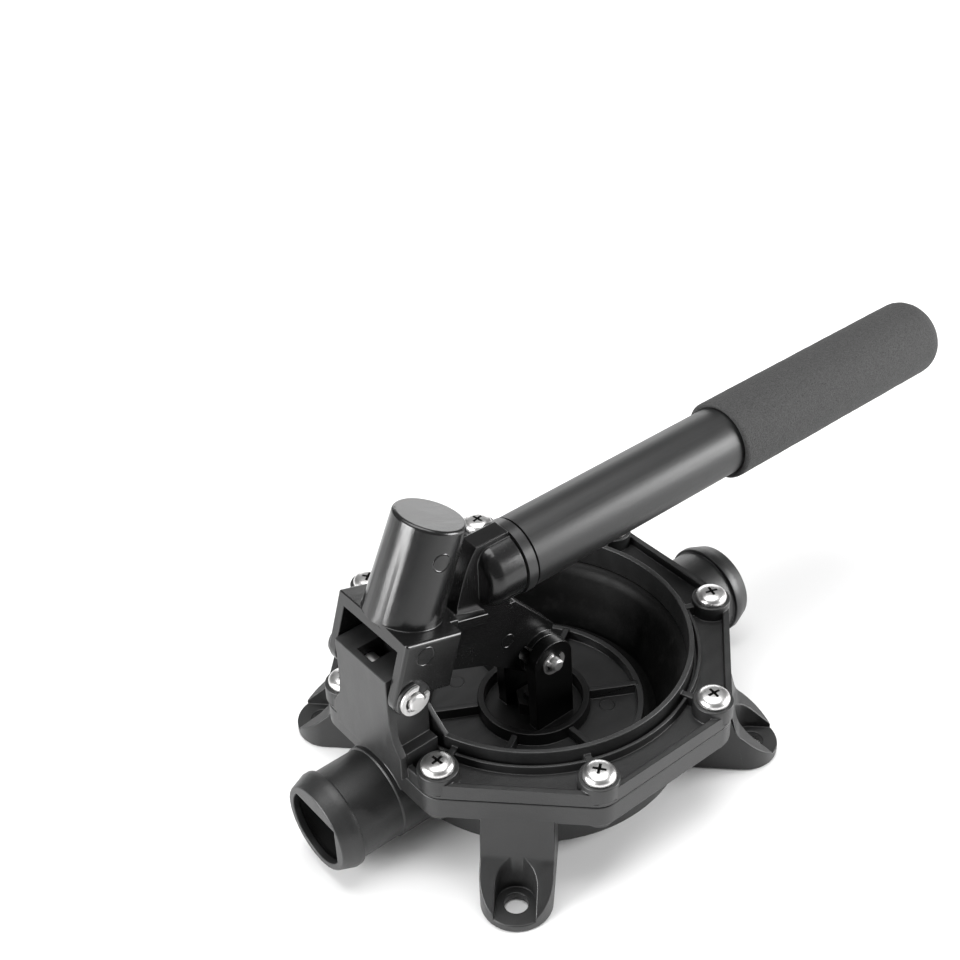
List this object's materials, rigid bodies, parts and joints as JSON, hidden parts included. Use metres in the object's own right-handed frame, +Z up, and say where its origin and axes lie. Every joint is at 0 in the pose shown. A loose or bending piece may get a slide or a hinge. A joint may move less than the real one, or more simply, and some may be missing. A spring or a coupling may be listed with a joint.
{
  "type": "manual diaphragm bilge pump",
  "caption": "Manual bilge pump: round body with feet and two hose ports, bolted clamp ring, diaphragm, lever and a removable tube handle with foam grip.",
  "frame": {"origin": "centre of the four fixing holes, on the plane the feet stand on", "axes": "+Z up through the diaphragm's centre line, +X along the ports and the handle, towards the grip"},
  "size_m": [0.3245, 0.1516, 0.1405],
  "materials": {
    "body_plastic": "fine-grained black moulding",
    "lever_plastic": "semi-gloss black moulding",
    "rubber": "black moulded rubber",
    "stainless": "bright stainless steel",
    "tube_black": "satin black coated tube",
    "washer_black": "black acetal",
    "foam": "closed-cell foam"
  },
  "bodies": {
    "housing": {"pump_body": "body_plastic", "clamp_ring": "body_plastic", "cover_screws": "stainless", "inlet_valve_seat": "body_plastic", "outlet_valve_seat": "body_plastic", "diaphragm": "rubber"},
    "plunger": {"upper_plate": "body_plastic", "lower_plate": "body_plastic", "plate_washer": "stainless", "plate_bolt": "stainless", "plate_nut": "stainless", "clevis_pin": "stainless", "clevis_clips": "stainless"},
    "rocker": {"lever": "lever_plastic", "pivot_pin": "stainless", "pivot_washers": "washer_black", "pivot_clips": "stainless"},
    "handle": {"handle_tube": "tube_black", "handle_collar": "washer_black", "handle_plug": "washer_black", "foam_grip": "foam"},
    "flap_in": {"inlet_valve_flap": "rubber"},
    "flap_out": {"outlet_valve_flap": "rubber"}
  },
  "joints": [
    {"name": "lever", "type": "hinge", "parent": "housing", "child": "rocker", "pos_m": [-0.071, 0, 0.0815], "axis": [0, -1, 0], "range_deg": [0, 30]},
    {"name": "plate", "type": "slide", "parent": "housing", "child": "plunger", "axis": [0, 0, 1], "range_m": [0, 0.041], "deforming": ["diaphragm"]},
    {"name": "handle", "type": "slide", "parent": "rocker", "child": "handle", "axis": [1, 0, 0], "range_m": [0, 0.04]},
    {"name": "inlet_flap", "type": "hinge", "parent": "housing", "child": "flap_in", "pos_m": [0.0649, 0, 0.0356], "axis": [0, 1, 0], "range_deg": [0, 20]},
    {"name": "outlet_flap", "type": "hinge", "parent": "housing", "child": "flap_out", "pos_m": [-0.0691, 0, 0.0356], "axis": [0, 1, 0], "range_deg": [0, 35]}
  ],
  "couplings": [
    {"joint": "plate", "follows": "lever", "m_per_rad": 0.0762}
  ]
}
